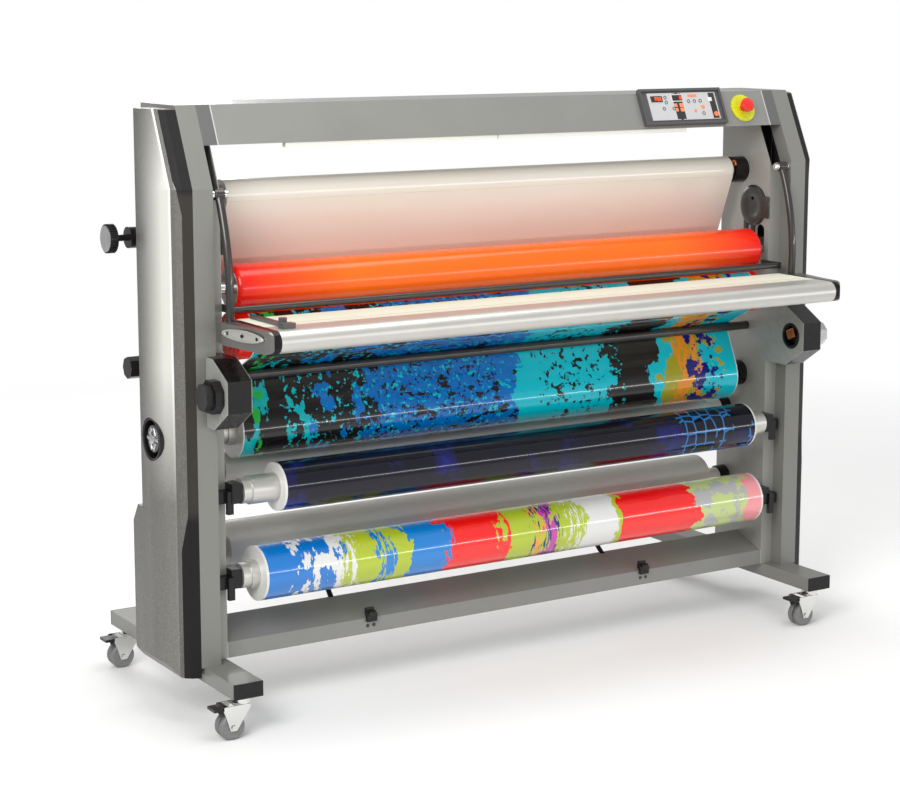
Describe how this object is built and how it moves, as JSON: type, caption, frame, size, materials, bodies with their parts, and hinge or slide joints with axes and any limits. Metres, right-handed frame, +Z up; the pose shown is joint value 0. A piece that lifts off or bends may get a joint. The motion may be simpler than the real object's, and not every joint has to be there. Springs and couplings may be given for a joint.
{
  "type": "cold roll laminator",
  "caption": "Wide cold laminator on a castered stand: nip rollers behind a swing-up feed table, film rolls on shafts above, below and behind, controls on the header beam.",
  "frame": {"origin": "bottom centre of the whole machine, on the floor", "axes": "+X to the operator's right along the rollers, +Y from the feed table towards the back, +Z up"},
  "size_m": [2.058, 0.827, 1.4921],
  "materials": {
    "frame_paint": "light grey textured powder coat",
    "plate_paint": "smooth light grey paint",
    "header_paint": "mid grey paint",
    "dark_trim": "satin black",
    "cover_silver": "silver metallic moulding",
    "grey_plastic": "satin grey",
    "membrane": "printed membrane",
    "orange_plastic": "gloss",
    "yellow_plastic": "gloss",
    "red_plastic": "gloss",
    "lamp_white": "opal diffuser",
    "aluminium": "brushed",
    "deck_paint": "smooth cream white paint",
    "casting": "satin grey casting",
    "dark_steel": "satin black steel",
    "chrome": "polished",
    "silicone_red": "glossy red-orange silicone",
    "steel": "turned steel",
    "black_plastic": "satin black",
    "chain_steel": "oiled steel",
    "white_film": "glossy film",
    "print_blue": "printed glossy film",
    "print_navy": "printed glossy film",
    "print_mixed": "printed glossy film",
    "liner_white": "release liner",
    "wheel_grey": "grey tread"
  },
  "bodies": {
    "frame": {"uprights": "frame_paint", "side_plates": "plate_paint", "top_beam": "header_paint", "lower_cross_beam": "header_paint", "feet": "frame_paint", "foot_end_caps": "dark_trim", "outer_covers": "cover_silver", "cover_trims": "dark_trim", "control_bezel": "grey_plastic", "control_membranes": "membrane", "estop_plate": "yellow_plastic", "light_bars": "lamp_white", "guard_bar": "dark_steel", "journal_blocks": "black_plastic", "drive_motor": "dark_steel", "drive_chain": "chain_steel", "top_film_web": "white_film", "supply_web": "print_blue", "tension_bars": "dark_steel", "winder_pods": "black_plastic", "table_pivots": "chrome"},
    "feed_table": {"table_nose": "aluminium", "table_deck": "deck_paint", "table_ends": "casting", "table_arms": "dark_steel"},
    "cutter": {"cutter_carriage": "grey_plastic"},
    "nip": {"nip_blocks": "dark_steel"},
    "upper_roller": {"upper_roller_sleeve": "silicone_red", "upper_roller_core": "steel"},
    "lower_roller": {"lower_roller": "silicone_red"},
    "motor_sprocket": {"motor_sprocket": "steel"},
    "nip_handwheel": {"nip_handwheel": "grey_plastic"},
    "top_film": {"top_film_shaft": "aluminium", "top_film_roll": "white_film"},
    "supply": {"supply_shaft": "aluminium", "supply_roll": "print_blue"},
    "middle": {"middle_shaft": "aluminium", "middle_roll": "print_navy"},
    "take_up": {"take_up_shaft": "aluminium", "take_up_roll": "print_mixed"},
    "rear_upper": {"rear_upper_roll": "liner_white"},
    "rear_lower": {"rear_lower_roll": "liner_white"},
    "pod_knob_left": {"pod_knob_left": "grey_plastic"},
    "pod_knob_right": {"pod_knob_right": "grey_plastic"},
    "rear_knob_upper": {"rear_knob_upper": "chrome"},
    "rear_knob_lower": {"rear_knob_lower": "black_plastic"},
    "power_button": {"power_button": "orange_plastic"},
    "estop_button": {"estop_button": "red_plastic"},
    "caster_front_left": {"caster_fork_front_left": "chrome"},
    "wheels_front_left": {"caster_wheels_front_left": "wheel_grey"},
    "pedal_front_left": {"caster_pedal_front_left": "black_plastic"},
    "caster_front_right": {"caster_fork_front_right": "chrome"},
    "wheels_front_right": {"caster_wheels_front_right": "wheel_grey"},
    "pedal_front_right": {"caster_pedal_front_right": "black_plastic"},
    "caster_rear_left": {"caster_fork_rear_left": "chrome"},
    "wheels_rear_left": {"caster_wheels_rear_left": "wheel_grey"},
    "pedal_rear_left": {"caster_pedal_rear_left": "black_plastic"},
    "caster_rear_right": {"caster_fork_rear_right": "chrome"},
    "wheels_rear_right": {"caster_wheels_rear_right": "wheel_grey"},
    "pedal_rear_right": {"caster_pedal_rear_right": "black_plastic"}
  },
  "joints": [
    {"name": "table_swing", "type": "hinge", "parent": "frame", "child": "feed_table", "pos_m": [0.026, -0.1495, 1.274], "axis": [-1, 0, 0], "range_deg": [0, 60]},
    {"name": "cutter_slide", "type": "slide", "parent": "feed_table", "child": "cutter", "axis": [1, 0, 0], "range_m": [0, 1.45]},
    {"name": "nip_lift", "type": "slide", "parent": "frame", "child": "nip", "axis": [0, 0, 1], "range_m": [0, 0.05]},
    {"name": "upper_roller_turn", "type": "hinge", "parent": "nip", "child": "upper_roller", "pos_m": [0.026, -0.0865, 1.0423], "axis": [1, 0, 0], "continuous": true},
    {"name": "lower_roller_turn", "type": "hinge", "parent": "frame", "child": "lower_roller", "pos_m": [0.026, -0.0865, 0.9257], "axis": [1, 0, 0], "continuous": true},
    {"name": "motor_turn", "type": "hinge", "parent": "frame", "child": "motor_sprocket", "pos_m": [0.026, -0.0485, 0.6], "axis": [1, 0, 0], "continuous": true},
    {"name": "handwheel_turn", "type": "hinge", "parent": "frame", "child": "nip_handwheel", "pos_m": [0.026, -0.0545, 0.69], "axis": [-1, 0, 0], "range_deg": [0, 1800]},
    {"name": "top_film_turn", "type": "hinge", "parent": "frame", "child": "top_film", "pos_m": [0.026, 0.0025, 1.258], "axis": [1, 0, 0], "continuous": true},
    {"name": "supply_turn", "type": "hinge", "parent": "frame", "child": "supply", "pos_m": [0.026, -0.0075, 0.678], "axis": [1, 0, 0], "continuous": true},
    {"name": "middle_turn", "type": "hinge", "parent": "frame", "child": "middle", "pos_m": [0.026, -0.1375, 0.556], "axis": [1, 0, 0], "continuous": true},
    {"name": "take_up_turn", "type": "hinge", "parent": "frame", "child": "take_up", "pos_m": [0.026, -0.1275, 0.344], "axis": [1, 0, 0], "continuous": true},
    {"name": "rear_upper_turn", "type": "hinge", "parent": "frame", "child": "rear_upper", "pos_m": [0.026, 0.0535, 0.57], "axis": [1, 0, 0], "continuous": true},
    {"name": "rear_lower_turn", "type": "hinge", "parent": "frame", "child": "rear_lower", "pos_m": [0.026, 0.0535, 0.366], "axis": [1, 0, 0], "continuous": true},
    {"name": "pod_knob_left_turn", "type": "hinge", "parent": "frame", "child": "pod_knob_left", "pos_m": [0.026, -0.2245, 0.811], "axis": [-1, 0, 0], "range_deg": [0, 270]},
    {"name": "pod_knob_right_turn", "type": "hinge", "parent": "frame", "child": "pod_knob_right", "pos_m": [0.026, -0.2245, 0.811], "axis": [1, 0, 0], "range_deg": [0, 270]},
    {"name": "rear_knob_upper_turn", "type": "hinge", "parent": "frame", "child": "rear_knob_upper", "pos_m": [0.026, 0.0615, 1.162], "axis": [-1, 0, 0], "range_deg": [0, 270]},
    {"name": "rear_knob_lower_turn", "type": "hinge", "parent": "frame", "child": "rear_knob_lower", "pos_m": [0.026, 0.0615, 0.846], "axis": [-1, 0, 0], "range_deg": [0, 270]},
    {"name": "power_button_press", "type": "slide", "parent": "frame", "child": "power_button", "axis": [0, 0.9046, -0.4263], "range_m": [0, 0.002], "stiffness_N_per_m": 400},
    {"name": "estop_press", "type": "slide", "parent": "frame", "child": "estop_button", "axis": [0, 0.9046, -0.4263], "range_m": [0, 0.005]},
    {"name": "swivel_front_left", "type": "hinge", "parent": "frame", "child": "caster_front_left", "pos_m": [-0.8585, -0.2825, 0.09], "axis": [0, 0, 1], "continuous": true},
    {"name": "roll_front_left", "type": "hinge", "parent": "caster_front_left", "child": "wheels_front_left", "pos_m": [-0.8905, -0.2825, 0.0315], "axis": [0, 1, 0], "continuous": true},
    {"name": "pedal_press_front_left", "type": "hinge", "parent": "caster_front_left", "child": "pedal_front_left", "pos_m": [-0.9025, -0.2825, 0.0765], "axis": [0, 1, 0], "range_deg": [-14, 0]},
    {"name": "swivel_front_right", "type": "hinge", "parent": "frame", "child": "caster_front_right", "pos_m": [0.9105, -0.2825, 0.09], "axis": [0, 0, 1], "continuous": true},
    {"name": "roll_front_right", "type": "hinge", "parent": "caster_front_right", "child": "wheels_front_right", "pos_m": [0.8785, -0.2825, 0.0315], "axis": [0, 1, 0], "continuous": true},
    {"name": "pedal_press_front_right", "type": "hinge", "parent": "caster_front_right", "child": "pedal_front_right", "pos_m": [0.8665, -0.2825, 0.0765], "axis": [0, 1, 0], "range_deg": [-14, 0]},
    {"name": "swivel_rear_left", "type": "hinge", "parent": "frame", "child": "caster_rear_left", "pos_m": [-0.8585, 0.3695, 0.09], "axis": [0, 0, 1], "continuous": true},
    {"name": "roll_rear_left", "type": "hinge", "parent": "caster_rear_left", "child": "wheels_rear_left", "pos_m": [-0.8905, 0.3695, 0.0315], "axis": [0, 1, 0], "continuous": true},
    {"name": "pedal_press_rear_left", "type": "hinge", "parent": "caster_rear_left", "child": "pedal_rear_left", "pos_m": [-0.9025, 0.3695, 0.0765], "axis": [0, 1, 0], "range_deg": [-14, 0]},
    {"name": "swivel_rear_right", "type": "hinge", "parent": "frame", "child": "caster_rear_right", "pos_m": [0.9105, 0.3695, 0.09], "axis": [0, 0, 1], "continuous": true},
    {"name": "roll_rear_right", "type": "hinge", "parent": "caster_rear_right", "child": "wheels_rear_right", "pos_m": [0.8785, 0.3695, 0.0315], "axis": [0, 1, 0], "continuous": true},
    {"name": "pedal_press_rear_right", "type": "hinge", "parent": "caster_rear_right", "child": "pedal_rear_right", "pos_m": [0.8665, 0.3695, 0.0765], "axis": [0, 1, 0], "range_deg": [-14, 0]}
  ],
  "couplings": [
    {"joint": "lower_roller_turn", "follows": "upper_roller_turn", "ratio": -1},
    {"joint": "motor_turn", "follows": "upper_roller_turn", "ratio": -1.5333},
    {"joint": "handwheel_turn", "follows": "nip_lift", "rad_per_m": 628.32}
  ]
}
